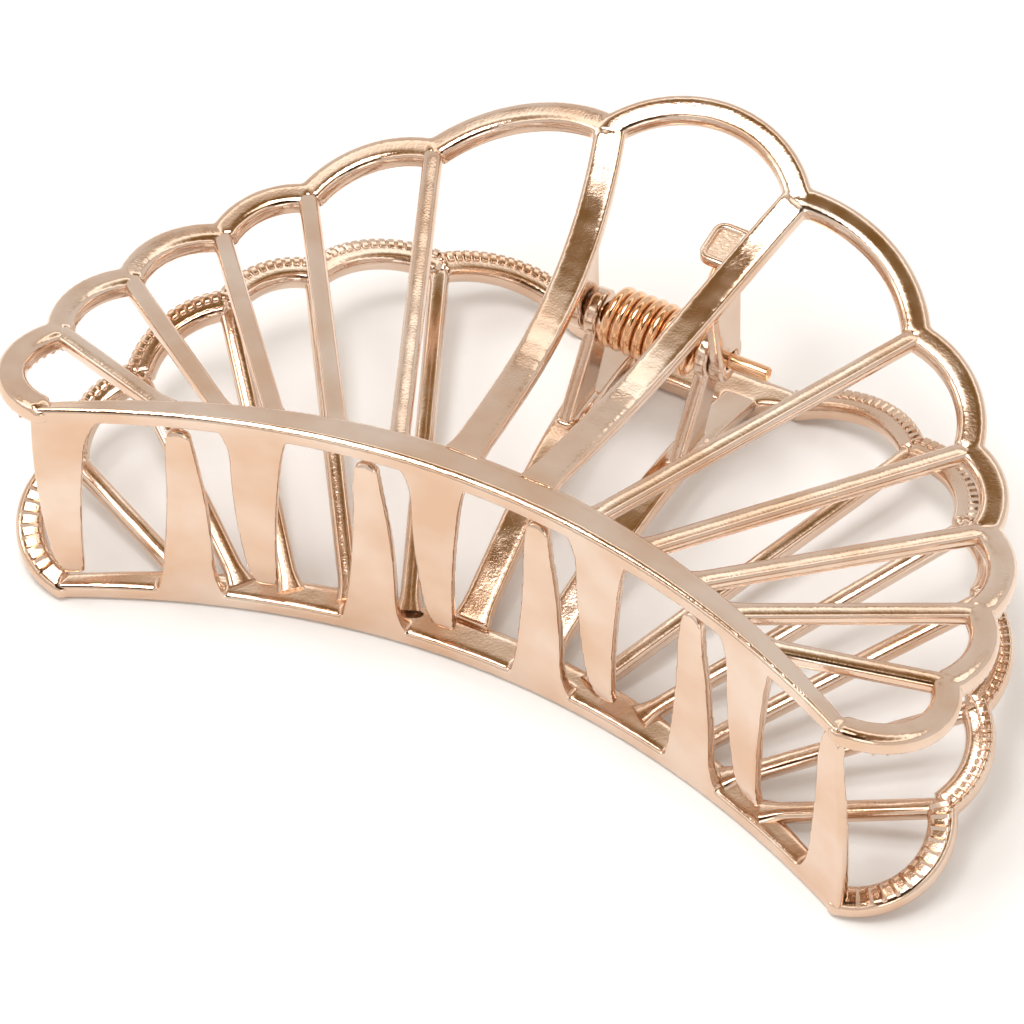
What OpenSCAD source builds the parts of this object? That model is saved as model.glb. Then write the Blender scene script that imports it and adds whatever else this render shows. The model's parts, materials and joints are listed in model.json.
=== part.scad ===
// Two-jaw claw hair clip with scalloped shell-shaped jaws.
// Each jaw is a curved fan: a rim with claw teeth, ribs that spread from it, and a
// scalloped band that joins the ribs' ends. A pin and a torsion spring join the jaws.
//
// Everything is drawn in a working frame: X along the hinge pin, +Y from the teeth
// to the levers, and Z = 0 halfway between the jaws. A jaw is drawn on the +Z side,
// and the back jaw is the same drawing turned half a turn about Y. The part's own
// origin is the middle of its footprint, on the surface that it lies on.

/* [Fan] */
// Radius of the circle that the ribs' outer ends lie on
fan_r = 42.8; // [42:0.1:43.5]
// Height of the rim's middle above the mid-plane
rim_z = 12.1; // [11.8:0.1:12.6]
// Least height of the centre ribs above the mid-plane
waist_z = 8.4; // [8.2:0.1:8.8]
// Height of the thumb lobe's crest above the mid-plane
crest_z = 13.7; // [13:0.1:14.5]

/* [Bars] */
// Width of the scalloped band
band_w = 2.2; // [1.8:0.1:2.4]
// Thickness of the band, the rim and the thumb bar
band_t = 1.8; // [1.4:0.1:2]
// Width of the two centre ribs
centre_rib_w = 3; // [2.4:0.1:3.2]
// Width of the other ribs
rib_w = 1.7; // [1.4:0.1:2]
// Thickness of the ribs
rib_t = 1.5; // [1.2:0.1:1.7]
// Width of the back jaw's straight thumb bar
bar_w = 4.3; // [3.6:0.1:4.6]

/* [Teeth] */
// Distance between neighbouring teeth of one jaw
tooth_pitch = 15.9; // [15.6:0.1:16.2]
// Offset of a jaw's middle tooth from the clip's middle
tooth_shift = 4.4; // [4.2:0.1:4.6]
// Width of a tooth near its root
tooth_root_w = 4.8; // [4.4:0.1:5.2]
// Width of a tooth at its tip
tooth_tip_w = 2.2; // [1.8:0.1:2.6]
// Thickness of a tooth
tooth_t = 1.2; // [1:0.1:1.4]
// How far the teeth reach past the mid-plane
tooth_reach = 10; // [8.5:0.1:10]
// How far the outermost tooth of each jaw reaches past the mid-plane
end_tooth_reach = 10.5; // [9.5:0.1:10.7]

/* [Hinge] */
// Distance of the hinge axis from the rim
hinge_y = 30.6; // [30:0.1:31]
// Radius of the hinge pin
pin_r = 0.7; // [0.6:0.05:0.8]
// Radial clearance of the pin in the front jaw's lugs
pin_play = 0.05; // [0.02:0.01:0.1]
// Radius of the round ears on the lugs
ear_r = 2.1; // [1.8:0.1:2.2]
// Thickness of a lug
lug_t = 1.3; // [1.2:0.1:1.3]
// Distance from the middle to the inner faces of the back jaw's lugs
lug_x = 4.8; // [4.7:0.05:4.9]
// Gap between the back jaw's lugs and the front jaw's lugs
lug_gap = 0.2; // [0.15:0.05:0.25]

/* [Spring] */
// Diameter of the spring wire
wire_d = 1; // [0.8:0.05:1]
// Radius of the coil, to the middle of the wire
coil_r = 2.4; // [2.2:0.05:2.5]
// Number of whole turns that the coil is wound with
coil_turns = 7; // [5:1:7]

/* [Hidden] */

gold = "#e8bfa0";
copper = "#d99a6a";

// Ribs, from the centre outwards: angle of the outer end on the fan's circle,
// height of the outer end, and distance of the root from the middle
fan_centre_y = -1;
rib_angle = [77.4, 56.2, 40.7, 29.2, 15.5, 2.7];
rib_end_z = [12.1, 7.9, 5.3, 4.7, 6.6, 8.6];
rib_root_x = [3.5, 9.5, 15, 20.3, 24.7, 29.4];

// The back jaw's scallop starts at the end of its straight bar
bar_end = [10.7, 37.4, rim_z];
// Ends of the rim, where the corner lobes start
rim_end_x = 38;

// Depth of a scallop lobe over half its width: side lobes, corner lobes, thumb lobe
side_bulge = 0.35;
corner_bulge = 0.6;
thumb_bulge = 0.5;
// Straight pieces that a lobe is drawn with
lobe_steps = 8;

// The rim's front and back lines bow towards the teeth at the ends
function rim_front(x) = -0.9 - x * x / 150;
function rim_back(x) = 2.8 - x * x / 127;
function rim_mid(x) = (rim_front(x) + rim_back(x)) / 2;

function unit(v) = v / norm(v);
function mix(a, b, t) = a + (b - a) * t;
function mirrored(p) = [-p.x, p.y, p.z];

function fan_point(i) = [fan_r * cos(rib_angle[i]), fan_centre_y + fan_r * sin(rib_angle[i]),
                         rib_end_z[i]];

// Points on a circular arc from a to b that stands out to the left, seen from above.
// Its depth is bulge times half its width. The point b itself is left out.
function lobe(a, b, bulge, lift = 0) =
    let (chord = b - a, half = norm([chord.x, chord.y]) / 2, turn = 4 * atan(bulge),
         left = unit([-chord.y, chord.x]), r = half / sin(turn / 2),
         mid = (a + b) / 2, back = r * cos(turn / 2))
    [for (k = [0:lobe_steps - 1])
        let (t = k / lobe_steps, s = (0.5 - t) * turn)
        [mid.x + left.x * (r * cos(s) - back) - unit(chord).x * r * sin(s),
         mid.y + left.y * (r * cos(s) - back) - unit(chord).y * r * sin(s),
         mix(a.z, b.z, t) + lift * sin(180 * t)]];

// The right half of a scallop, from the rim's end up to the first rib or bar end
function side_path(top) =
    let (knots = concat([[rim_end_x, rim_mid(rim_end_x), rim_z]],
                        [for (i = [5:-1:1]) fan_point(i)], [top]))
    concat([for (i = [0:5])
               each [for (p = lobe(mirrored(knots[i]), mirrored(knots[i + 1]),
                                   i == 0 ? corner_bulge : side_bulge)) mirrored(p)]], [top]);

// The part's frame: the middle of the footprint and the height of the mid-plane
crest_y = fan_point(0).y + thumb_bulge * fan_point(0).x + band_w / 2;
foot_y = (crest_y + rim_front(rim_end_x)) / 2;
base_z = rim_z + band_t / 2;

front_side = side_path(fan_point(0));
back_side = side_path(bar_end);
thumb_path = concat(lobe(mirrored(fan_point(0)), fan_point(0), thumb_bulge,
                         crest_z - rib_end_z[0]), [fan_point(0)]);

// Chamfered rectangle that the bars have as their section
function section(w, t) =
    let (c = 0.28 * min(w, t), a = w / 2, b = t / 2)
    [[a, b - c], [a - c, b], [c - a, b], [-a, b - c], [-a, c - b], [c - a, -b], [a - c, -b],
     [a, c - b]];

// A bar with its section carried along a path, with mitred bends. The points before
// and after the path, where given, set the mitres of its two end faces.
module bar(path, w, t, before = undef, after = undef) {
    n = len(path);
    sec = section(w, t);
    m = len(sec);
    points = [for (i = [0:n - 1])
        let (prev = i > 0 ? path[i - 1] : before, next = i < n - 1 ? path[i + 1] : after,
             d_in = prev == undef ? unit(next - path[i]) : unit(path[i] - prev),
             d_out = next == undef ? d_in : unit(next - path[i]),
             along = unit(d_in + d_out), side = unit(cross(along, [0, 0, 1])),
             up = cross(side, along), stretch = 1 / (d_in * along))
        each [for (s = sec) path[i] + s.x * stretch * side + s.y * up]];
    sides = [for (i = [0:n - 2], j = [0:m - 1])
        let (a = i * m + j, b = i * m + (j + 1) % m)
        each [[a, b, a + m], [b, b + m, a + m]]];
    ends = [[for (j = [m - 1:-1:0]) j], [for (j = [0:m - 1]) (n - 1) * m + j]];
    polyhedron(points, concat(sides, ends));
}

module front() {
    translate([0, -foot_y, base_z]) children();
}

module back() {
    translate([0, -foot_y, base_z]) rotate([0, 180, 0]) children();
}

module both_sides() {
    children();
    mirror([1, 0, 0]) children();
}

module rim() {
    steps = 24;
    xs = [for (k = [0:steps]) mix(-rim_end_x, rim_end_x, k / steps)];
    translate([0, 0, rim_z - band_t / 2]) linear_extrude(band_t)
        polygon(concat([for (x = xs) [x, rim_front(x)]],
                       [for (k = [steps:-1:0]) [xs[k], rim_back(xs[k])]]));
}

// Half the width of a tooth at a share t of its length: a taper, and a flare at the
// root that runs out over the first fifth
function tooth_half(t, flare) =
    mix(tooth_root_w, tooth_tip_w, pow(t, 1.3)) / 2 + flare * pow(max(0, 1 - 5 * t), 2);

// Sideways bow of a tooth's middle line
function tooth_bow(t) = -0.7 * sin(150 * t);

// Flares of a tooth's root to its left and right; the outermost tooth is flush with
// the rim's end on its left
tooth_flares = [1.3, 0.4];
end_tooth_flares = [0, 1.4];

// One flat tooth that hangs from the rim at x and follows the rim's front line
module tooth(x, reach, flares) {
    steps = 12;
    length = rim_z + reach - tooth_tip_w / 2;
    translate([x, rim_front(x), rim_z]) rotate([90, 0, atan(-x / 75)])
        translate([0, 0, -tooth_t]) linear_extrude(tooth_t) {
            polygon(concat(
                [for (k = [0:steps]) let (t = k / steps)
                    [tooth_bow(t) - tooth_half(t, flares[0]), -length * t]],
                [for (k = [steps:-1:0]) let (t = k / steps)
                    [tooth_bow(t) + tooth_half(t, flares[1]), -length * t]]));
            translate([tooth_bow(1), -length]) circle(tooth_tip_w / 2, $fn = 32);
        }
}

module teeth() {
    tooth(-2 * tooth_pitch - tooth_shift, end_tooth_reach, end_tooth_flares);
    for (k = [-1:2]) tooth(k * tooth_pitch - tooth_shift, tooth_reach, tooth_flares);
}

// Straight ribs 2 to 6 of the right side, from inside the rim into the band
module side_ribs() {
    for (i = [1:5]) {
        root = [rib_root_x[i], rim_back(rib_root_x[i]), rim_z];
        end = fan_point(i);
        along = unit(end - root);
        bar([root - 0.5 * along, end - 0.6 * along], rib_w, rib_t);
    }
}

rib_steps = 14;
front_rib_path = [for (k = [0:rib_steps])
    let (t = k / rib_steps, y = mix(rim_back(rib_root_x[0]) - 0.5, fan_point(0).y - 0.8, t))
    [rib_root_x[0] + 2.9 * t + 2.7 * pow(t, 3.5), y, front_rib_z(y)]];
back_rib_path = [for (k = [0:rib_steps])
    let (t = k / rib_steps, y = mix(rim_back(rib_root_x[0]) - 0.5, bar_end.y - bar_w + band_w / 2 + 0.6, t))
    [rib_root_x[0] + 2.6 * t, y, back_rib_z(y)]];

// Side view of the centre ribs: waisted near the hinge and flared at both ends
function front_rib_z(y) = waist_z + 0.0108 * pow(y - 22, 2);
function back_rib_z(y) = waist_z + 0.0122 * pow(y - 20.1, 2);

// The thumb bar narrows to the band's width in an arch at each end, and its ends run
// a little way into the band
module thumb_bar() {
    inner_y = bar_end.y - bar_w + band_w / 2;
    outer_y = bar_end.y + band_w / 2;
    end_x = bar_end.x + 0.5;
    arch = [3.7, bar_w - band_w];
    right_end = concat(
        [[end_x, outer_y], [end_x, inner_y + arch.y]],
        [for (s = [0:15:90]) [bar_end.x - arch.x * sin(s), inner_y + arch.y * cos(s)]]);
    translate([0, 0, rim_z - band_t / 2]) linear_extrude(band_t)
        polygon(concat(right_end, [for (k = [len(right_end) - 1:-1:0])
                                      [-right_end[k].x, right_end[k].y]]));
}

// A pair of lug plates: a round ear about the hinge axis and an arm to the rib.
// foot_y0 and foot_y1 are the arm's edges at its root, at the height foot_z.
module lugs(inner_x, bore_r, foot_y0, foot_y1, foot_z) {
    both_sides() translate([inner_x, 0, 0]) rotate([90, 0, 90]) linear_extrude(lug_t)
        difference() {
            union() {
                translate([hinge_y, 0]) circle(ear_r, $fn = 48);
                polygon([[hinge_y - ear_r, 0], [hinge_y + ear_r, 0], [foot_y1, foot_z],
                         [foot_y0, foot_z]]);
            }
            translate([hinge_y, 0]) circle(bore_r, $fn = 48);
        }
}

// Small plate beside the right centre rib that the spring's upper leg presses on
module spring_seat() {
    translate([2.7, 33.4, 7.9]) cube([3.8, 4.5, 1]);
    translate([5.7, 34.1, 7.9]) cube([2, 2.8, 2]);
}

// Spring: a leg to the back jaw's bar, the coil, and a leg under the front jaw's
// seat. Leg tips are measured from the hinge axis, along Y and Z.
leg_down = [6.2, rim_z - band_t / 2 - wire_d / 2 - 0.05];
leg_up = [7.9, 7.6];
coil_half_x = 3.9;

// Slope of the line from a leg's tip that just touches the coil's far side, so that
// squeezing the levers winds the coil tighter
function leg_slope(tip) = atan2(tip.y, tip.x) - asin(coil_r / norm(tip));

spring_path =
    let (a = -90 - leg_slope(leg_down), b = 90 + leg_slope(leg_up) - 360 * (coil_turns + 1),
         steps = round((a - b) / 30))
    concat([[-coil_half_x, leg_down.x, -leg_down.y]],
           [for (k = [0:steps]) let (t = k / steps, s = mix(a, b, t))
               [mix(-coil_half_x, coil_half_x, t), coil_r * cos(s), coil_r * sin(s)]],
           [[coil_half_x, leg_up.x, leg_up.y]]);

// Round wire along a path that winds about the X axis
module wire(path) {
    sides = 8;
    n = len(path);
    points = [for (i = [0:n - 1])
        let (along = unit(path[min(i + 1, n - 1)] - path[max(i - 1, 0)]),
             u = unit(cross(along, [1, 0, 0])), v = cross(along, u))
        each [for (j = [0:sides - 1]) let (s = 360 * j / sides)
            path[i] + wire_d / 2 * (cos(s) * u + sin(s) * v)]];
    walls = [for (i = [0:n - 2], j = [0:sides - 1])
        let (a = i * sides + j, b = i * sides + (j + 1) % sides)
        each [[a, a + sides, b], [b, a + sides, b + sides]]];
    ends = [[for (j = [0:sides - 1]) j], [for (j = [sides - 1:-1:0]) (n - 1) * sides + j]];
    polyhedron(points, concat(walls, ends));
}

module front_rim() { color(gold) front() rim(); }
module front_teeth() { color(gold) front() teeth(); }
module front_centre_ribs() {
    color(gold) front() both_sides() bar(front_rib_path, centre_rib_w, rib_t);
}
module front_left_ribs() { color(gold) front() mirror([1, 0, 0]) side_ribs(); }
module front_right_ribs() { color(gold) front() side_ribs(); }
module front_scallop_right() {
    color(gold) front() bar(front_side, band_w, band_t,
                            after = mirrored(thumb_path[1]));
}
module front_scallop_left() {
    color(gold) front() mirror([1, 0, 0]) bar(front_side, band_w, band_t,
                                              after = mirrored(thumb_path[1]));
}
module front_thumb_lobe() {
    last = len(front_side) - 2;
    color(gold) front() bar(thumb_path, band_w, band_t,
                            before = mirrored(front_side[last]), after = front_side[last]);
}
module front_lugs() {
    color(gold) front() lugs(lug_x + lug_t + lug_gap, pin_r + pin_play, hinge_y - 3,
                             hinge_y + ear_r, front_rib_z(hinge_y));
}
module front_spring_seat() { color(gold) front() spring_seat(); }

module back_rim() { color(gold) back() rim(); }
module back_teeth() { color(gold) back() teeth(); }
module back_centre_ribs() {
    color(gold) back() both_sides() bar(back_rib_path, centre_rib_w, rib_t);
}
module back_left_ribs() { color(gold) back() side_ribs(); }
module back_right_ribs() { color(gold) back() mirror([1, 0, 0]) side_ribs(); }
module back_scallop_left() { color(gold) back() bar(back_side, band_w, band_t); }
module back_scallop_right() {
    color(gold) back() mirror([1, 0, 0]) bar(back_side, band_w, band_t);
}
module back_thumb_bar() { color(gold) back() thumb_bar(); }
module back_lugs() {
    color(gold) back() lugs(lug_x, pin_r, hinge_y - 8, hinge_y - 2.5, back_rib_z(26));
}

// The pin's left end stops just past the outer lug, and its right end stands out
module hinge_pin() {
    left = 8;
    right = 11.2;
    color(copper) front() translate([-left, hinge_y, 0]) rotate([0, 90, 0])
        cylinder(h = left + right, r = pin_r, $fn = 48);
}
module torsion_spring() { color(copper) front() translate([0, hinge_y, 0]) wire(spring_path); }

front_rim();
front_teeth();
front_centre_ribs();
front_left_ribs();
front_right_ribs();
front_scallop_left();
front_scallop_right();
front_thumb_lobe();
front_lugs();
front_spring_seat();
back_rim();
back_teeth();
back_centre_ribs();
back_left_ribs();
back_right_ribs();
back_scallop_left();
back_scallop_right();
back_thumb_bar();
back_lugs();
hinge_pin();
torsion_spring();
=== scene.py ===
"""Rose-gold shell claw clip: two cast jaws, a hinge pin and a torsion spring.

Lengths are in millimetres in a working frame: X along the pin, +Y from the teeth to the
levers and Z = 0 halfway between the closed jaws. Each jaw is built on the +Z side.
seat_piece() then scales it to metres and puts it where the CAD model has it, the back
jaw turned half a turn about Y.
"""
import json
import math

import bmesh
import bpy
from mathutils import Matrix, Vector


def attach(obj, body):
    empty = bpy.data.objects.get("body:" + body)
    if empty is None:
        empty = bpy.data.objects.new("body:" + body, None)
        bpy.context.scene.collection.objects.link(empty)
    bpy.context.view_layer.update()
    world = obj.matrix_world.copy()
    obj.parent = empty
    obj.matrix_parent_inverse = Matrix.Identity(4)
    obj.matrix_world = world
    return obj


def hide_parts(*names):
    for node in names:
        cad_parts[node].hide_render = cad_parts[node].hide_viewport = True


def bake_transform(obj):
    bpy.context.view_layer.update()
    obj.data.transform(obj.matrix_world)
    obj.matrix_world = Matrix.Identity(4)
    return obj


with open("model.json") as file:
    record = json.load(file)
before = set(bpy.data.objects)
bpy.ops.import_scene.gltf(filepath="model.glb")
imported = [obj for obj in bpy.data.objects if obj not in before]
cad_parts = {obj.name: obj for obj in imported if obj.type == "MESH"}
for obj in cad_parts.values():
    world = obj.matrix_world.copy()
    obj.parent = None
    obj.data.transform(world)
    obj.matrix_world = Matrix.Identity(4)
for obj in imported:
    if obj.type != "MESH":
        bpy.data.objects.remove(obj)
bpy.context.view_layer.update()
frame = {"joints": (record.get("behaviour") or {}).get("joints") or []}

# ---------------------------------------------------------------- driving dimensions
# Heights over the middle plane, at the rim, at the waist of the centre ribs and at the
# crest of the thumb lobe
RIM_Z = 12.1
WAIST_Z = 8.4
CREST_Z = 13.6

# The fan: angle, end height and root of each rib on the right, centre rib first
FAN_RADIUS = 42.7
FAN_CENTRE_Y = -1.0
RIB_ANGLES = (77.4, 56.2, 40.7, 29.2, 15.5, 2.7)
RIB_END_Z = (12.1, 7.9, 5.3, 4.7, 6.6, 8.6)
RIB_ROOT_X = (3.5, 9.5, 15.0, 20.3, 24.7, 29.4)

# The rim bows back towards its ends, and its outer face slopes down towards the ribs
RIM_END_X = 38.0
RIM_FRONT_Y, RIM_FRONT_BOW = -0.9, 150
RIM_BACK_Y, RIM_BACK_BOW = 2.8, 127
RIM_SLOPE = 0.58

# The scalloped band: nominal section, what the lobes gain on their inner side, and how
# far each kind of lobe bulges as a share of half its chord
BAND_W, BAND_T = 2.2, 1.76
BAND_GROWTH = 0.4
SIDE_BULGE, CORNER_BULGE, THUMB_BULGE = 0.35, 0.59, 0.493
LOBE = dict(width=BAND_W + BAND_GROWTH, thickness=BAND_T + 0.2, corner=0.7,
            drop=-0.1, shift=-BAND_GROWTH / 2, steps=24)

# Cast ridges under the band: fine cord on the side lobes, bold flutes on the corners. Each
# pitch is four rings long, and "sunk" says which of them go in, by what share of the depth
CORD = dict(pitch=0.8, depth=0.26, width=1.25, drop=-0.82, shift=0.35, sunk=(((2,), 1.0),))
FLUTES = dict(pitch=1.1, depth=0.5, width=1.9, drop=-0.92, shift=-0.2,
              sunk=(((1, 2, 3), 0.5), ((2,), 0.5)))
RIDGE_T, RIDGE_CORNER = 0.9, 0.3
# Share of a corner lobe, next to the rim's end, that is left plain
PLAIN_SHARE = 0.12

# The side ribs are round-edged bars that flare at both ends, like cast fillets
RIB_W, RIB_T, RIB_CORNER = 1.8, 1.5, 0.73
RIB_ROOT_DROP, RIB_ROOT_DEPTH, RIB_END_GAP = 0.8, 1.4, 0.1
RIB_ROOT_FLARE, RIB_END_FLARE, FLARE_STEP = 1.55, 1.1, 0.55

# The centre ribs spread and bend outwards, and sag to a waist from which they rise
CENTRE_RIB_W = 3.0
FRONT_CENTRE_RIB = dict(spread=2.9, bend=2.7, waist_y=22, rise=0.0108)
BACK_CENTRE_RIB = dict(spread=2.6, bend=0, waist_y=20.1, rise=0.0122)

# The back jaw's thumb bar, with an arch at each end: right half's stations along X
BAR_W = 4.3
BAR_END = Vector((10.7, 37.4, RIM_Z - 0.15))
BAR_ARCH = 3.7
BAR_STATIONS = (11.2, 10.6, 9.8, 8.9, 8.1, 7.5, 7.1, 6.9)

TOOTH_PITCH, TOOTH_SHIFT = 15.9, 4.4
TOOTH_ROOT_W, TOOTH_TIP_W, TOOTH_T = 4.8, 2.2, 1.2
TOOTH_REACH, END_TOOTH_REACH = 10.0, 10.4
TOOTH_ROOT_RISE = 0.25
TOOTH_BOW, TOOTH_HOOK = 0.7, 0.6
# Fillets to the left and right of a tooth's root
TOOTH_FLARES, END_TOOTH_FLARES = (1.3, 0.4), (0.0, 1.4)

HINGE_Y = 30.6
PIN_R, PIN_LEFT, PIN_RIGHT = 0.7, 8.0, 11.2
EAR_R, LUG_T, BORE_EDGE_R = 2.1, 1.3, 0.92
BACK_LUG_X, LUG_GAP = 4.8, 0.2

SEAT_CENTRE, SEAT_SIZE = Vector((4.6, 35.65, 8.4)), (3.8, 4.5, 1)

WIRE_D, COIL_R, COIL_TURNS = 1.0, 2.4, 7
COIL_HALF_X = 3.9
# Leg tips as (distance behind the pin, height over the middle plane of the jaw they rest on):
# one under the back jaw's thumb bar, the other under the front jaw's spring seat
LEG_DOWN = (6.2, RIM_Z - BAND_T / 2 - WIRE_D / 2 - 0.05)
LEG_UP = (7.9, 7.6)

# Cell size that runs the bars of a casting together, and how far its fillets are softened
VOXEL = 0.18
SOFTENING = 1.1

# The hinge axis ties the working frame to the CAD frame
hinge = frame["joints"][0]
AXIS_Y, AXIS_Z = hinge["pos_m"][1], hinge["pos_m"][2]
TO_CAD = Vector((0, AXIS_Y - HINGE_Y / 1000, AXIS_Z))


def mix(a, b, t):
    return a + (b - a) * t


def rim_front(x):
    return RIM_FRONT_Y - x * x / RIM_FRONT_BOW


def rim_back(x):
    return RIM_BACK_Y - x * x / RIM_BACK_BOW


def rim_mid(x):
    return (rim_front(x) + rim_back(x)) / 2


def fan_point(i, side=1):
    """Where rib i meets the band, on the right (1) or the left (-1)."""
    a = math.radians(RIB_ANGLES[i])
    x, y = FAN_RADIUS * math.cos(a), FAN_CENTRE_Y + FAN_RADIUS * math.sin(a)
    return Vector((side * x, y, RIB_END_Z[i]))


def flipped(p):
    return Vector((-p.x, p.y, p.z))


def centre_rib_z(shape, y):
    return WAIST_Z + shape["rise"] * (y - shape["waist_y"]) ** 2


# ---------------------------------------------------------------- modelling by operators
def pick(obj):
    """Leaves one object selected and active, in object mode."""
    if bpy.context.mode != "OBJECT":
        bpy.ops.object.mode_set(mode="OBJECT")
    bpy.ops.object.select_all(action="DESELECT")
    obj.select_set(True)
    bpy.context.view_layer.objects.active = obj


def edit(obj):
    pick(obj)
    bpy.ops.object.mode_set(mode="EDIT")


def leave():
    bpy.ops.object.mode_set(mode="OBJECT")


def apply_place(obj):
    pick(obj)
    bpy.ops.object.transform_apply(location=True, rotation=True, scale=True)


def apply_modifier(obj, kind, **settings):
    mod = obj.modifiers.new(kind.title(), kind)
    for key, value in settings.items():
        setattr(mod, key, value)
    pick(obj)
    bpy.ops.object.modifier_apply(modifier=mod.name)


def choose(obj, kind, test):
    """In edit mode, selects the edges or faces whose middle and direction pass the test."""
    bpy.ops.mesh.select_mode(type=kind)
    bpy.ops.mesh.select_all(action="DESELECT")
    bm = bmesh.from_edit_mesh(obj.data)
    to_world = obj.matrix_world
    turn = to_world.to_3x3()
    for item in bm.edges if kind == "EDGE" else bm.faces:
        middle = sum((v.co for v in item.verts), Vector()) / len(item.verts)
        if kind == "EDGE":
            along = (item.verts[1].co - item.verts[0].co).normalized()
        else:
            along = item.normal
        item.select_set(test(to_world @ middle, turn @ along))
    bm.select_flush_mode()
    bmesh.update_edit_mesh(obj.data)


def choose_open_end(obj, at, reach):
    """In edit mode, selects the open edges within reach of a point."""
    bpy.ops.mesh.select_mode(type="EDGE")
    bpy.ops.mesh.select_all(action="DESELECT")
    bm = bmesh.from_edit_mesh(obj.data)
    for edge in bm.edges:
        middle = (edge.verts[0].co + edge.verts[1].co) / 2
        edge.select_set(edge.is_boundary and (middle - at).length < reach)
    bmesh.update_edit_mesh(obj.data)


def closed_up(obj):
    """Merges doubled points and turns every face outwards."""
    edit(obj)
    bpy.ops.mesh.select_all(action="SELECT")
    bpy.ops.mesh.remove_doubles(threshold=0.001)
    bpy.ops.mesh.normals_make_consistent(inside=False)
    leave()
    return obj


def joined(objs, name):
    pick(objs[0])
    for obj in objs:
        obj.select_set(True)
    bpy.ops.object.join()
    objs[0].name = objs[0].data.name = name
    return objs[0]


# ---------------------------------------------------------------- bars and arcs
def section_face(place, turn, width, thickness, corner):
    """A flat face with eased corners, as the start of a bar: width along its X."""
    bpy.ops.mesh.primitive_plane_add(size=1, location=place, rotation=turn.to_euler())
    obj = bpy.context.object
    obj.scale = (width, thickness, 1)
    bpy.ops.object.transform_apply(location=False, rotation=False, scale=True)
    edit(obj)
    bpy.ops.mesh.bevel(offset=corner, segments=3, affect="VERTICES")
    return obj


# The section's turn for a bar along each axis, and the axes that lie across that bar
FACING = {
    "X": Matrix(((0, 0, 1), (1, 0, 0), (0, 1, 0))),
    "Y": Matrix(((1, 0, 0), (0, 0, -1), (0, 1, 0))),
    "Z": Matrix(((1, 0, 0), (0, 1, 0), (0, 0, 1))),
}
ACROSS = {"X": (1, 2), "Y": (0, 2), "Z": (0, 1)}


def drawn_bar(path, sizes, facing, corner):
    """A bar extruded from point to point, its section kept square to one axis."""
    obj = section_face(path[0], FACING[facing], *sizes[0], corner)
    for i in range(1, len(path)):
        step = path[i] - path[i - 1]
        bpy.ops.mesh.extrude_region_move(TRANSFORM_OT_translate={"value": step})
        factor = [1.0, 1.0, 1.0]
        for axis, now, before in zip(ACROSS[facing], sizes[i], sizes[i - 1]):
            factor[axis] = now / before
        bpy.ops.transform.resize(value=factor, center_override=path[i])
    leave()
    return obj


def arc_of(start, end, bulge, lift=0.0):
    """Circle through start and end that stands out to the right of the way."""
    chord = end - start
    half = chord.length / 2
    level = Vector((chord.y, -chord.x, 0))
    out = level * bulge / 2 + Vector((0, 0, lift))
    depth = out.length
    out.normalize()
    turn = 4 * math.atan(depth / half)
    radius = half / math.sin(turn / 2)
    centre = (start + end) / 2 - out * (radius - depth)
    axis = out.cross(chord).normalized()
    return centre, axis, radius, turn


def spun_lobe(start, end, bulge, lift, width, thickness, corner, drop, shift, steps):
    """A bar with rounded edges along an arc; drop moves it along the axis, shift outwards."""
    centre, axis, radius, turn = arc_of(start, end, bulge, lift)
    out = (start - centre).normalized()
    frame_at = Matrix((out, axis, out.cross(axis))).transposed()
    obj = section_face(start + axis * drop + out * shift, frame_at, width, thickness, corner)
    bpy.ops.mesh.spin(steps=steps, angle=-turn, center=centre, axis=axis)
    leave()
    return obj


# ---------------------------------------------------------------- the cast jaws
def rim_bar():
    """The rim: its front stands square, and its outer face falls away towards the ribs."""
    steps = 48
    xs = [mix(-RIM_END_X, RIM_END_X, k / steps) for k in range(steps + 1)]
    path = [Vector((x, rim_mid(x), RIM_Z)) for x in xs]
    sizes = [(rim_back(x) - rim_front(x), BAND_T) for x in xs]
    obj = drawn_bar(path, sizes, "X", corner=0.4)
    edit(obj)
    choose(obj, "EDGE", lambda p, d: p.z > RIM_Z + 0.2 and p.y > rim_mid(p.x) + 0.2)
    bpy.ops.transform.translate(value=(0, 0, -RIM_SLOPE))
    leave()
    return obj


def claw_tooth(x, reach, flares):
    """A flat tooth: flared root, slim bow, round tip that hooks a little inwards."""
    steps, cap = 14, 4
    tip_from = 0.95
    length = RIM_Z + reach
    path, sizes = [], []
    for k in range(-1, steps + cap):
        if k < steps:
            t = max(0, k) / steps * tip_from
            round_off = 1.0
        else:
            a = math.radians(86) * (k - steps + 1) / cap
            t = tip_from + (1 - tip_from) * math.sin(a)
            round_off = math.cos(a)
        half = mix(TOOTH_ROOT_W, TOOTH_TIP_W, t ** 1.3) / 2
        flare = max(0.0, 1 - 5 * t) ** 2
        left, right = half + flares[0] * flare, half + flares[1] * flare
        bow = -TOOTH_BOW * math.sin(math.radians(150) * t)
        thick = TOOTH_T * mix(1.0, 0.75, t) * max(round_off, 0.35) ** 0.5
        hook = TOOTH_HOOK * max(0.0, (t - 0.8) / 0.2) ** 2
        drop = -length * t if k >= 0 else TOOTH_ROOT_RISE
        path.append(Vector((bow + (right - left) / 2, TOOTH_T / 2 + hook, drop)))
        sizes.append(((left + right) * round_off, thick))
    obj = drawn_bar(path, sizes, "Z", corner=0.22)
    square_to_rim = Matrix.Rotation(math.atan(-2 * x / RIM_FRONT_BOW), 4, "Z")
    place = Matrix.Translation((x, rim_front(x), RIM_Z)) @ square_to_rim
    obj.matrix_world = place @ obj.matrix_world
    return obj


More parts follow.
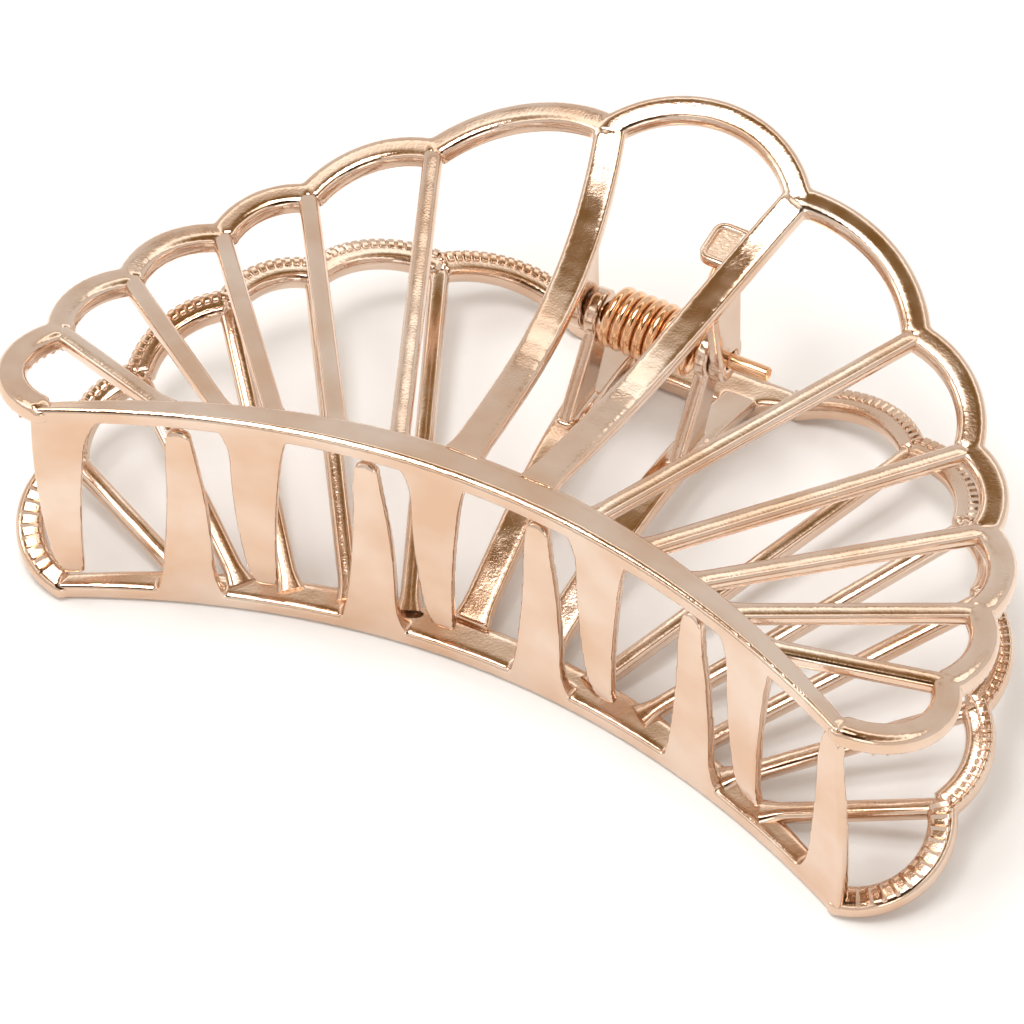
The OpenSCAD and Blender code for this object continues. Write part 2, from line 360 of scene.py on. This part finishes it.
def teeth():
    """Five teeth, set off to one side so that the two jaws' teeth interleave."""
    made = []
    for k in range(-2, 3):
        x = k * TOOTH_PITCH - TOOTH_SHIFT
        if k == -2:
            made.append(claw_tooth(x, END_TOOTH_REACH, END_TOOTH_FLARES))
        else:
            made.append(claw_tooth(x, TOOTH_REACH, TOOTH_FLARES))
    return made


def side_rib(start, end):
    """A straight rib, flared where it leaves the rim and again where it joins the band."""
    along = (end - start).normalized()
    side = along.cross(Vector((0, 0, 1))).normalized()
    turn = Matrix((side, along, side.cross(along))).transposed()
    length = (end - start).length
    path, sizes = [], []
    for k in range(5):
        flare = mix(RIB_ROOT_FLARE, 1.0, math.sin(math.pi * k / 8))
        path.append(Vector((0, FLARE_STEP * k, 0)))
        sizes.append((RIB_W * flare, RIB_T))
    for k, thinning in enumerate((1.0, 1.0, 1.0, 0.93, 0.75)):
        flare = mix(1.0, RIB_END_FLARE, 1 - math.cos(math.pi * k / 8))
        path.append(Vector((0, length - FLARE_STEP * (4 - k), 0)))
        sizes.append((RIB_W * flare, RIB_T * thinning))
    obj = drawn_bar(path, sizes, "Y", RIB_CORNER)
    obj.matrix_world = Matrix.Translation(start) @ turn.to_4x4() @ obj.matrix_world
    return obj


def side_ribs(name):
    made = []
    for side in (-1, 1):
        for i in range(1, len(RIB_ROOT_X)):
            root = Vector((side * RIB_ROOT_X[i], rim_back(RIB_ROOT_X[i]), RIM_Z - RIB_ROOT_DROP))
            end = fan_point(i, side)
            along = (end - root).normalized()
            made.append(side_rib(root - along * RIB_ROOT_DEPTH, end - along * RIB_END_GAP))
    for obj in made:
        apply_place(obj)
        closed_up(obj)
    return joined(made, name)


def centre_rib(side, shape, end_y):
    """A flat rib that starts under the rim's back edge and ends at the lever."""
    steps = 24
    root_depth, root_sink, root_flare = 0.6, RIM_SLOPE + 0.35, 0.25
    path, sizes = [], []
    for k in range(steps + 1):
        t = k / steps
        y = mix(rim_back(RIB_ROOT_X[0]) - root_depth, end_y, t)
        x = RIB_ROOT_X[0] + shape["spread"] * t + shape["bend"] * t ** 3.5
        sink = root_sink * max(0.0, 1 - t / 0.3) ** 2
        flare = 1 + root_flare * max(0.0, 1 - t / 0.08) ** 2
        path.append(Vector((side * x, y, centre_rib_z(shape, y) - sink)))
        sizes.append((CENTRE_RIB_W * flare, RIB_T))
    return drawn_bar(path, sizes, "Y", corner=0.45)


def lug(side, inner_x, foot_z, foot_y0, foot_y1):
    """A lug plate: a round ear bored for the pin, and an arm to its rib."""
    x = side * (inner_x + LUG_T / 2)
    bpy.ops.mesh.primitive_circle_add(
        vertices=48, radius=EAR_R, fill_type="NGON", location=(x - LUG_T / 2, HINGE_Y, 0),
        rotation=(0, math.pi / 2, 0))
    ear = bpy.context.object
    edit(ear)
    bpy.ops.mesh.select_all(action="SELECT")
    bpy.ops.mesh.inset(thickness=EAR_R - BORE_EDGE_R)
    bpy.ops.mesh.delete(type="FACE")
    bpy.ops.mesh.select_all(action="SELECT")
    bpy.ops.mesh.extrude_region_move(TRANSFORM_OT_translate={"value": (LUG_T, 0, 0)})
    leave()
    arm_top, arm_w = BORE_EDGE_R + 0.1, 2 * EAR_R - 0.35
    shares = [k / 6 for k in range(7)]
    path = [Vector((x, mix(HINGE_Y, (foot_y0 + foot_y1) / 2, t), mix(arm_top, foot_z, t)))
            for t in shares]
    sizes = [(LUG_T, mix(arm_w, foot_y1 - foot_y0, t)) for t in shares]
    return [ear, drawn_bar(path, sizes, "Z", corner=0.2)]


def lobes(top, with_thumb):
    """(start, end, bulge, lift) of every lobe, from the rim's ends up to the given top."""
    rim_end = Vector((RIM_END_X, rim_mid(RIM_END_X), RIM_Z))
    knots = [rim_end] + [fan_point(i) for i in (5, 4, 3, 2, 1)] + [top]
    rows = []
    for i, (a, b) in enumerate(zip(knots, knots[1:])):
        bulge = CORNER_BULGE if i == 0 else SIDE_BULGE
        rows.append((a, b, bulge, 0.0))
        rows.append((flipped(b), flipped(a), bulge, 0.0))
    if with_thumb:
        rows.append((top, flipped(top), THUMB_BULGE, CREST_Z - RIM_Z))
    return rows


def band(rows):
    """The lobes, with a round knuckle where two of them meet at an angle."""
    made = [spun_lobe(*row, **LOBE) for row in rows]
    for knot in [row[0] for row in rows] + [flipped(rows[0][0])]:
        bpy.ops.mesh.primitive_cylinder_add(
            vertices=32, radius=BAND_W / 2, depth=BAND_T - 0.3, location=knot)
        knuckle = bpy.context.object
        edit(knuckle)
        choose(knuckle, "EDGE", lambda p, d: abs(d.z) < 0.1)
        bpy.ops.mesh.bevel(offset=0.4, segments=3)
        leave()
        made.append(knuckle)
    return made


def clear_of_rim(start, end, bulge):
    """The part of a corner lobe that is clear of the rim's end."""
    centre, axis, radius, turn = arc_of(start, end, bulge)
    first = (start - centre).normalized()
    second = axis.cross(first)
    shares = (PLAIN_SHARE, 1.0) if abs(start.x) == RIM_END_X else (0.0, 1 - PLAIN_SHARE)
    a, b = [centre + radius * (first * math.cos(t * turn) + second * math.sin(t * turn))
            for t in shares]
    return a, b, math.tan((1 - PLAIN_SHARE) * turn / 4)


def ridges(rows, name):
    """Cast cross ridges on the band's inner face, one strip under each lobe."""
    strips = []
    for start, end, bulge, lift in rows:
        style = CORD
        if bulge == CORNER_BULGE:
            start, end, bulge = clear_of_rim(start, end, bulge)
            style = FLUTES
        centre, axis, radius, turn = arc_of(start, end, bulge, lift)
        rings = 4 * max(4, round(radius * turn / style["pitch"]))
        obj = spun_lobe(start, end, bulge, lift, style["width"], RIDGE_T, RIDGE_CORNER,
                        style["drop"], style["shift"], steps=rings)
        first = (start - centre).normalized()
        second = axis.cross(first)
        edit(obj)
        bpy.ops.mesh.select_mode(type="VERT")
        for sunk, share in style["sunk"]:
            bpy.ops.mesh.select_all(action="DESELECT")
            bm = bmesh.from_edit_mesh(obj.data)
            for v in bm.verts:
                p = obj.matrix_world @ v.co - centre
                ring = round(math.atan2(p.dot(second), p.dot(first)) / turn * rings)
                v.select_set(ring % 4 in sunk)
            bm.select_flush_mode()
            bmesh.update_edit_mesh(obj.data)
            bpy.ops.transform.translate(value=axis * style["depth"] * share)
        leave()
        apply_place(obj)
        strips.append(closed_up(obj))
    return joined(strips, name)


def thumb_bar():
    """The back jaw's straight bar, which narrows in an arch at both ends."""
    outer_y = BAR_END.y + BAND_W / 2
    path, sizes = [], []
    for x in [-x for x in BAR_STATIONS] + list(reversed(BAR_STATIONS)):
        reach = min(1.0, max(0.0, (BAR_END.x - abs(x)) / BAR_ARCH))
        width = mix(BAND_W, BAR_W, 1 - math.sqrt(1 - reach * reach))
        path.append(Vector((x, outer_y - width / 2, RIM_Z)))
        sizes.append((width, BAND_T))
    return drawn_bar(path, sizes, "X", corner=0.4)


def fused_casting(parts, name):
    """Runs the bars of a jaw together into one skin with soft cast fillets."""
    for obj in parts:
        apply_place(obj)
        closed_up(obj)
    obj = joined(parts, name)
    apply_modifier(obj, "REMESH", mode="VOXEL", voxel_size=VOXEL, use_smooth_shade=True)
    apply_modifier(obj, "SMOOTH", factor=0.5, iterations=round(SOFTENING / VOXEL))
    return obj


def cast_jaw(name, fan_parts, rows):
    """The pieces that a jaw's casting is drawn as."""
    return {
        "fan": fused_casting(fan_parts, name + "_fan"),
        "rim_and_teeth": fused_casting([rim_bar()] + teeth(), name + "_rim_and_teeth"),
        "side_ribs": side_ribs(name + "_side_ribs"),
        "ridges": ridges(rows, name + "_ridges"),
    }


def front_jaw():
    """The jaw with the thumb lobe. Its lugs stand outside the back jaw's."""
    rows = lobes(fan_point(0), with_thumb=True)
    fan_parts = band(rows)
    foot_z = centre_rib_z(FRONT_CENTRE_RIB, HINGE_Y)
    for side in (-1, 1):
        fan_parts.append(centre_rib(side, FRONT_CENTRE_RIB, fan_point(0).y - 0.5))
        fan_parts += lug(side, BACK_LUG_X + LUG_T + LUG_GAP, foot_z, HINGE_Y - 3, HINGE_Y + EAR_R)
    return cast_jaw("front_jaw", fan_parts, rows)


def back_jaw():
    """The jaw with the thumb bar. Its lugs stand next to the coil and lean to the teeth."""
    rows = lobes(BAR_END, with_thumb=False)
    fan_parts = band(rows) + [thumb_bar()]
    for side in (-1, 1):
        fan_parts.append(centre_rib(side, BACK_CENTRE_RIB, BAR_END.y - BAR_W + BAND_W))
        fan_parts += lug(side, BACK_LUG_X, WAIST_Z + 0.4, HINGE_Y - 8, HINGE_Y - 2.5)
    return cast_jaw("back_jaw", fan_parts, rows)


def spring_seat(plain_metal, bed_metal_with_painted_sheen):
    """Rounded tab beside the right centre rib, with a raised border round a sunk bed."""
    bpy.ops.mesh.primitive_cube_add(size=1, location=SEAT_CENTRE)
    obj = bpy.context.object
    obj.scale = SEAT_SIZE
    apply_place(obj)
    edit(obj)
    choose(obj, "EDGE", lambda p, d: abs(d.z) > 0.9 and p.x < SEAT_CENTRE.x)
    bpy.ops.mesh.bevel(offset=1.1, segments=5)
    choose(obj, "FACE", lambda p, d: d.z > 0.9)
    bpy.ops.mesh.inset(thickness=0.55, depth=0)
    bpy.ops.mesh.inset(thickness=0.12, depth=-0.28)
    obj.data.materials.append(plain_metal)
    # the bed's metal, whose paler colour is a painted sheen
    obj.data.materials.append(bed_metal_with_painted_sheen)
    obj.active_material_index = 1
    bpy.ops.object.material_slot_assign()
    choose(obj, "EDGE", lambda p, d: abs(d.z) < 0.1 and abs(p.z - SEAT_CENTRE.z) > 0.45)
    bpy.ops.mesh.bevel(offset=0.12, segments=2)
    leave()
    web = drawn_bar([Vector((5.7, 35.5, 8.8)), Vector((7.7, 35.5, 9.2))], [(2.8, 1.5)] * 2, "X",
                    corner=0.3)
    apply_place(web)
    return closed_up(joined([obj, web], "front_jaw_spring_seat"))


# ---------------------------------------------------------------- pin and spring
def leg_slope(tip):
    """Slope of the line from a leg's tip that just touches the coil's far side."""
    return math.atan2(tip[1], tip[0]) - math.asin(COIL_R / math.hypot(*tip))


def torsion_spring():
    """Wire spun into a coil about the pin, with a straight leg drawn from each end."""
    leg_steps, steps = 10, 44 * COIL_TURNS
    start = -math.pi / 2 - leg_slope(LEG_DOWN)
    finish = math.pi / 2 + leg_slope(LEG_UP) - 2 * math.pi * (COIL_TURNS + 1)
    first = Vector((-COIL_HALF_X, COIL_R * math.cos(start), COIL_R * math.sin(start)))
    last = Vector((COIL_HALF_X, COIL_R * math.cos(finish), COIL_R * math.sin(finish)))
    bpy.ops.mesh.primitive_circle_add(vertices=16, radius=WIRE_D / 2, fill_type="NOTHING")
    obj = bpy.context.object
    obj.matrix_world = Matrix.Translation(first) @ Matrix.Rotation(start, 4, "X")
    apply_place(obj)
    apply_modifier(obj, "SCREW", axis="X", angle=finish - start, screw_offset=2 * COIL_HALF_X,
                   steps=steps, render_steps=steps, iterations=1,
                   use_smooth_shade=True, use_merge_vertices=False)
    for at, tip in ((first, Vector((-COIL_HALF_X, LEG_DOWN[0], -LEG_DOWN[1]))),
                    (last, Vector((COIL_HALF_X, LEG_UP[0], LEG_UP[1])))):
        edit(obj)
        choose_open_end(obj, at, WIRE_D)
        for k in range(leg_steps):
            bpy.ops.mesh.extrude_region_move(
                TRANSFORM_OT_translate={"value": (tip - at) / leg_steps})
        # The cut end, with its edge eased
        bpy.ops.mesh.extrude_region_move(
            TRANSFORM_OT_translate={"value": (tip - at).normalized() * 0.08})
        bpy.ops.transform.resize(value=(0.8, 0.8, 0.8), center_override=tip)
        bpy.ops.mesh.edge_face_add()
        leave()
    obj.location = (0, HINGE_Y, 0)
    apply_place(obj)
    obj.name = obj.data.name = "torsion_spring_wire"
    return closed_up(obj)


def hinge_pin():
    """Cut wire with eased ends; the right end stands out past the lugs."""
    bpy.ops.mesh.primitive_cylinder_add(
        vertices=40, radius=PIN_R, depth=PIN_LEFT + PIN_RIGHT,
        location=((PIN_RIGHT - PIN_LEFT) / 2, HINGE_Y, 0), rotation=(0, math.pi / 2, 0))
    obj = bpy.context.object
    apply_place(obj)
    edit(obj)
    choose(obj, "FACE", lambda p, d: abs(d.x) > 0.9)
    bpy.ops.mesh.inset(thickness=0.12, depth=0)
    choose(obj, "EDGE", lambda p, d: abs(d.x) < 0.1 and math.hypot(p.y - HINGE_Y, p.z) > PIN_R * 0.95)
    bpy.ops.mesh.bevel(offset=0.14, segments=3)
    leave()
    obj.name = obj.data.name = "hinge_pin_wire"
    return closed_up(obj)


# ---------------------------------------------------------------- materials
def linear(hex_colour):
    """sRGB hex text to the linear colour that a shader takes."""
    parts = [int(hex_colour[i:i + 2], 16) / 255 for i in (1, 3, 5)]
    return tuple(c / 12.92 if c <= 0.04045 else ((c + 0.055) / 1.055) ** 2.4 for c in parts) + (1.0,)


def node(tree, kind, settings=(), stops=(), **links):
    """Adds a shader node with its settings, a ramp's stops, and values or links for its inputs."""
    made = tree.nodes.new(kind)
    for key, value in dict(settings).items():
        setattr(made, key, value)
    if stops:
        ramp = made.color_ramp.elements
        for i in (0, -1):
            ramp[i].position, ramp[i].color = stops[i]
        for at, colour in stops[1:-1]:
            ramp.new(at).color = colour
    for key, value in links.items():
        socket = made.inputs[key.replace("_", " ")]
        if isinstance(value, bpy.types.NodeSocket):
            tree.links.new(value, socket)
        else:
            socket.default_value = value
    return made


# Sizes of what plating and polishing leave on every piece: clouds of deeper tone, hazy
# patches, and slow ripples a few hundredths of a millimetre deep
CLOUD_MM, HAZE_MM, RIPPLE_MM = 9, 2.5, 3.5
RIPPLE_STRENGTH, RIPPLE_DEPTH_MM = 0.25, 0.2


def plated_metal(name, light, deep, roughness, grain_mm, grain_depth_mm):
    """Polished plating: a little uneven in tone and gloss, over the surface's own grain."""
    mat = bpy.data.materials.new(name)
    mat.use_nodes = True
    tree = mat.node_tree
    tree.nodes.clear()
    place = node(tree, "ShaderNodeTexCoord").outputs["Object"]
    clouds = node(tree, "ShaderNodeTexNoise", Vector=place, Scale=1000 / CLOUD_MM, Detail=3.0)
    tone = node(tree, "ShaderNodeValToRGB", Fac=clouds.outputs["Fac"],
                stops=((0.35, linear(deep)), (0.65, linear(light))))
    haze = node(tree, "ShaderNodeTexNoise", Vector=place, Scale=1000 / HAZE_MM, Detail=4.0)
    gloss = node(tree, "ShaderNodeMapRange", Value=haze.outputs["Fac"], From_Min=0.3, From_Max=0.7,
                 To_Min=roughness[0], To_Max=roughness[1])
    grain = node(tree, "ShaderNodeTexNoise", Vector=place, Scale=1000 / grain_mm, Detail=2.0)
    ripple = node(tree, "ShaderNodeTexNoise", Vector=place, Scale=1000 / RIPPLE_MM, Detail=1.0)
    slow = node(tree, "ShaderNodeBump", Height=ripple.outputs["Fac"], Strength=RIPPLE_STRENGTH,
                Distance=RIPPLE_DEPTH_MM / 1000)
    fine = node(tree, "ShaderNodeBump", Height=grain.outputs["Fac"], Strength=1.0,
                Distance=grain_depth_mm / 1000, Normal=slow.outputs["Normal"])
    skin = node(tree, "ShaderNodeBsdfPrincipled", Base_Color=tone.outputs["Color"], Metallic=1.0,
                Roughness=gloss.outputs["Result"], Normal=fine.outputs["Normal"])
    node(tree, "ShaderNodeOutputMaterial", Surface=skin.outputs["BSDF"])
    return mat


# Zinc die casting, tumbled bright and plated: a pale pink-gold mirror, softened by the cast
# skin. Its real grain is finer than a tenth of a millimetre and is drawn coarser to show
casting_metal = plated_metal("rose_gold_plated_zinc_casting", "#E4CEBC", "#D8B69B",
                             roughness=(0.09, 0.2), grain_mm=0.24, grain_depth_mm=0.009)
# Spring wire drawn through a die and plated: deeper copper gold, with long clean highlights.
# Its drawing marks are drawn coarser than they are, and nearly flat
wire_metal = plated_metal("copper_gold_drawn_wire", "#F2C9A3", "#E2AF83",
                          roughness=(0.12, 0.2), grain_mm=0.25, grain_depth_mm=0.003)
# The spring seat's bed, cast with pebbles 0.4 mm across, inside a plain border. The pebbles are real
# bump and gloss; its base colour, paler than the casting's under the same plating, is a painted sheen
bed_metal_with_painted_sheen = plated_metal("rose_gold_pebbled_bed_painted_sheen", "#F6E3D0", "#DFBFA2",
                         roughness=(0.3, 0.45), grain_mm=0.4, grain_depth_mm=0.14)


# ---------------------------------------------------------------- assembly
def dress(obj, mat):
    """Gives a piece its metal, and smooth shading between faces less than 40 degrees apart."""
    if not obj.data.materials:
        obj.data.materials.append(mat)
    edit(obj)
    bpy.ops.mesh.select_all(action="SELECT")
    bpy.ops.mesh.faces_shade_smooth()
    pick(obj)
    bpy.ops.object.shade_smooth_by_angle(angle=math.radians(40))


def seat_piece(obj, mat, half_turn=False):
    """Takes a piece from the working frame to the CAD frame in metres, and dresses it."""
    obj.scale = (0.001, 0.001, 0.001)
    obj.rotation_euler = (0, math.pi if half_turn else 0, 0)
    obj.location = TO_CAD
    apply_place(obj)
    dress(obj, mat)


# What each piece of a jaw's casting stands for in the CAD model
CASTING_NODES = {
    "fan": ("centre_ribs", "scallop_left", "scallop_right", "lugs"),
    "rim_and_teeth": ("rim", "teeth"),
    "side_ribs": ("left_ribs", "right_ribs"),
    "ridges": (),
}

for side, pieces, lever in (("front", front_jaw(), "thumb_lobe"), ("back", back_jaw(), "thumb_bar")):
    for kind, obj in pieces.items():
        seat_piece(obj, casting_metal, half_turn=side == "back")
        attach(obj, side + "_jaw")
        nodes = CASTING_NODES[kind]
        if kind == "fan":
            nodes += (lever,)
        if nodes:
            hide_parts(*(side + "_" + n for n in nodes))

seat = spring_seat(casting_metal, bed_metal_with_painted_sheen)
seat_piece(seat, casting_metal)
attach(seat, "front_jaw")
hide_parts("front_spring_seat")

pin = hinge_pin()
seat_piece(pin, wire_metal)
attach(pin, "back_jaw")
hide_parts("hinge_pin")

# The spring stays where it is built, in the CAD frame, and is attached to neither jaw
spring = torsion_spring()
seat_piece(spring, wire_metal)
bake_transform(spring)
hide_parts("torsion_spring")

# ---------------------------------------------------------------- studio
# Matt white paper: an even pale ground with soft shadows and no gloss
floor_mat = bpy.data.materials.new("matt_white_paper_sweep")
floor_mat.use_nodes = True
paper = floor_mat.node_tree.nodes["Principled BSDF"]
paper.inputs["Base Color"].default_value = linear("#F7F7F7")
paper.inputs["Roughness"].default_value = 0.9
bpy.ops.mesh.primitive_plane_add(size=3, location=(0, 0, 0))
floor = bpy.context.object
floor.name = "floor"
floor.data.materials.append(floor_mat)


def softbox(name, place, aim, size, power):
    """A rectangular area light that looks at a point."""
    light = bpy.data.lights.new(name, "AREA")
    light.shape = "RECTANGLE"
    light.size, light.size_y = size
    light.energy = power
    obj = bpy.data.objects.new(name, light)
    bpy.context.scene.collection.objects.link(obj)
    obj.location = place
    obj.rotation_euler = (Vector(aim) - Vector(place)).to_track_quat("-Z", "Y").to_euler()


softbox("overhead_box", (-0.12, -0.1, 0.8), (0, 0, 0), (0.4, 0.3), 3.3)
softbox("left_box", (-0.7, -0.3, 0.45), (0, 0, 0.01), (0.3, 0.3), 0.6)
softbox("front_box", (0.5, -0.75, 0.35), (0, 0, 0.01), (0.3, 0.3), 0.6)

# The tent round the clip, which the metal mirrors, from level (0) to straight overhead (1)
TENT = (
    (0.0, (0.27, 0.265, 0.26, 1)),
    (0.3, (0.29, 0.287, 0.283, 1)),
    (0.545, (0.275, 0.268, 0.258, 1)),
    # a narrow brown strip under the bright panel
    (0.57, (0.12, 0.083, 0.047, 1)),
    (0.595, (0.12, 0.083, 0.047, 1)),
    (0.63, (0.62, 0.61, 0.59, 1)),
    (0.725, (0.62, 0.61, 0.59, 1)),
    # the pale upper cloth
    (0.76, (0.27, 0.255, 0.235, 1)),
    (0.8, (0.24, 0.213, 0.175, 1)),
    # a dark ring round the opening at the top
    (0.845, (0.093, 0.055, 0.02, 1)),
    (0.955, (0.073, 0.042, 0.012, 1)),
    (0.98, (0.85, 0.83, 0.8, 1)),
    (1.0, (0.8, 0.78, 0.75, 1)),
)
TENT_STRENGTH = 2.95
# A round dark flag over the front right, by the cosine of the angle from its middle
FLAG_TOWARDS = (0.31, -0.54, 0.78)
FLAG = ((0.93, (1, 1, 1, 1)), (0.955, (0.06, 0.036, 0.016, 1)))

world = bpy.data.worlds.new("studio")
bpy.context.scene.world = world
world.use_nodes = True
tree = world.node_tree
tree.nodes.clear()
sky = node(tree, "ShaderNodeTexCoord").outputs["Generated"]
height = node(tree, "ShaderNodeSeparateXYZ", Vector=sky).outputs["Z"]
tent = node(tree, "ShaderNodeValToRGB", stops=TENT, Fac=height)
towards = node(tree, "ShaderNodeVectorMath", {"operation": "DOT_PRODUCT"}, Vector=sky)
towards.inputs[1].default_value = FLAG_TOWARDS
flag = node(tree, "ShaderNodeValToRGB", stops=FLAG, Fac=towards.outputs["Value"])
room = node(tree, "ShaderNodeMix", {"data_type": "RGBA", "blend_type": "MULTIPLY"},
            Factor=1.0, A=tent.outputs["Color"], B=flag.outputs["Color"])
glow = node(tree, "ShaderNodeBackground", Color=room.outputs["Result"], Strength=TENT_STRENGTH)
node(tree, "ShaderNodeOutputWorld", Surface=glow.outputs["Background"])

# Plain display colours, so that the white sweep shows white and the metal keeps its tint
bpy.context.scene.view_settings.view_transform = "Standard"

# A long lens, looking down on the clip from in front and to its right; the view is turned
# so that the teeth point down and to the left
EYE = Vector((0.1963, -0.3380, 0.4972))
LOOK = Vector((-0.311, 0.542, -0.781)).normalized()
VIEW_RIGHT = Vector((0.884, 0.467, -0.027))

camera = bpy.data.cameras.new("camera")
camera.lens, camera.sensor_width = 260, 36
camera.clip_start, camera.clip_end = 0.05, 10
eye = bpy.data.objects.new("camera", camera)
bpy.context.scene.collection.objects.link(eye)
right = (VIEW_RIGHT - VIEW_RIGHT.dot(LOOK) * LOOK).normalized()
turn = Matrix((right, right.cross(LOOK), -LOOK)).transposed()
eye.matrix_world = Matrix.Translation(TO_CAD + EYE) @ turn.to_4x4()
bpy.context.scene.camera = eye
